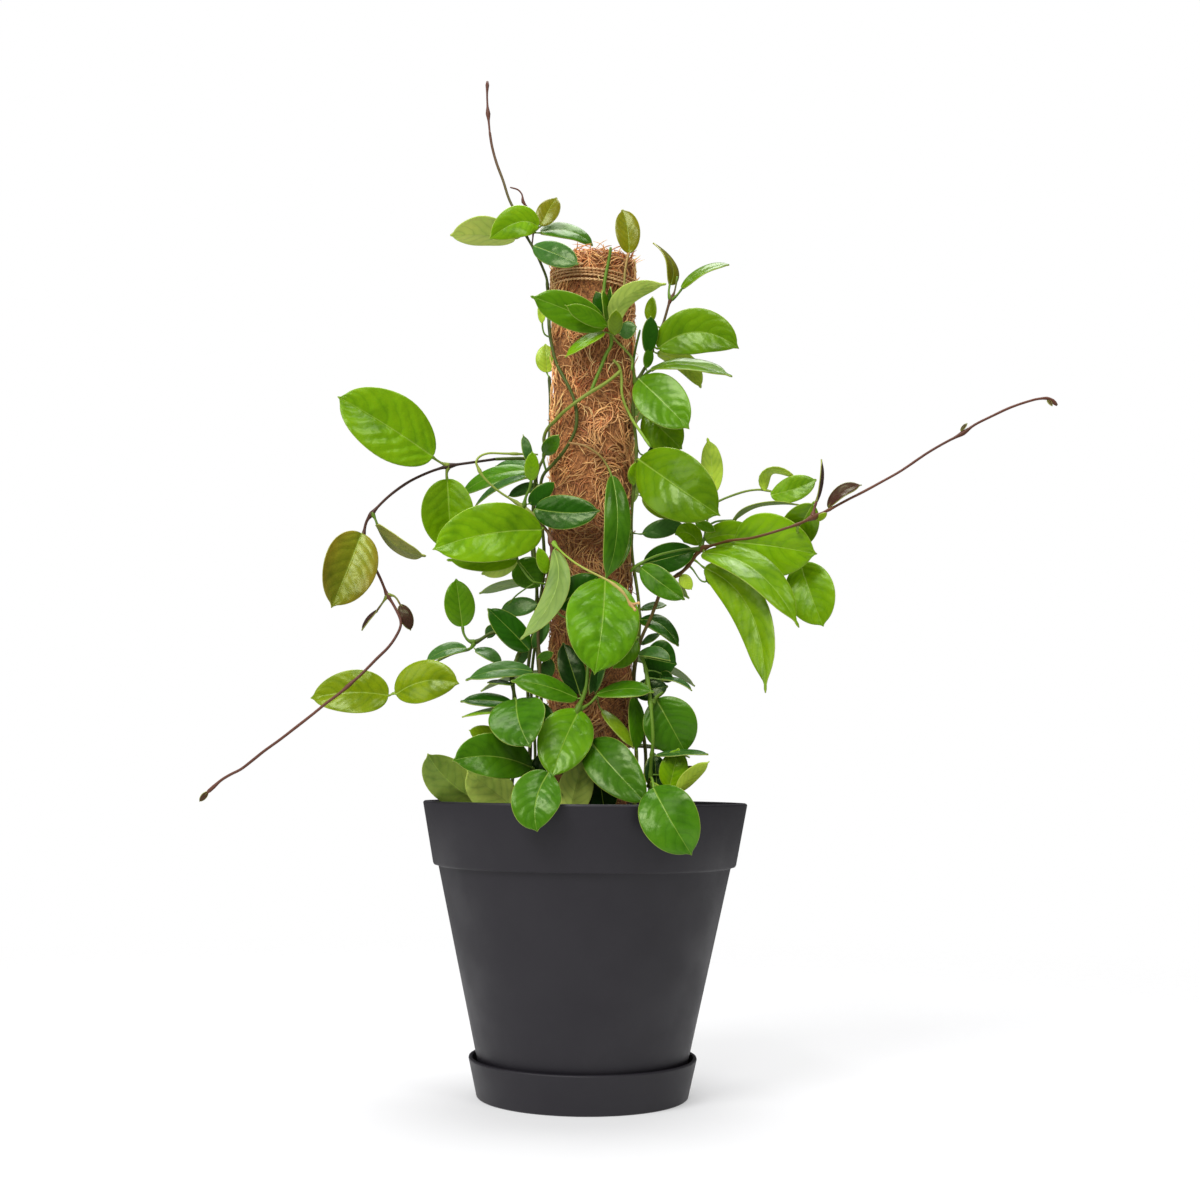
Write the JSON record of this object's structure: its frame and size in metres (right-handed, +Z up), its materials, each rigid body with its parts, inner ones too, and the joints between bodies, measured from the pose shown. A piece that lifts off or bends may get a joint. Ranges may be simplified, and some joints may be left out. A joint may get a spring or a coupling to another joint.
{
  "type": "potted climbing plant",
  "caption": "Potted hoya climbing a coir pole, with opposite glossy leaves, arching shoots and bare tendrils, in a banded nursery pot on a saucer.",
  "frame": {"origin": "centre of the saucer's flat underside, on the surface that the plant stands on", "axes": "+Z up along the pole; +X to the viewer's right in the picture; +Y away from the viewer"},
  "size_m": [0.5063, 0.2099, 0.6277],
  "materials": {
    "saucer_plastic": "charcoal moulded plastic, slightly satin",
    "pot_plastic": "charcoal moulded plastic, fine matte texture",
    "soil_mix": "dark crumbly bark and peat mix",
    "stake_wood": "plain round stake",
    "coir": "reddish brown curled coir fibre",
    "twine": "thin twisted plant twine",
    "vine_green": "glossy fleshy leaves on green to brown stems"
  },
  "bodies": {
    "root": {"saucer": "saucer_plastic", "pot": "pot_plastic", "soil": "soil_mix", "pole_stake": "stake_wood", "coir_sleeve": "coir", "twine_wrap": "twine", "vine_crown": "vine_green", "vine_twist": "vine_green", "vine_right_high": "vine_green", "vine_right_reach": "vine_green", "vine_left_arch": "vine_green", "vine_left_mid": "vine_green", "vine_left_back": "vine_green", "vine_front": "vine_green", "vine_low_left": "vine_green", "vine_low_right": "vine_green", "vine_right_mid": "vine_green", "vine_back_left": "vine_green", "vine_back_right": "vine_green"}
  },
  "joints": []
}
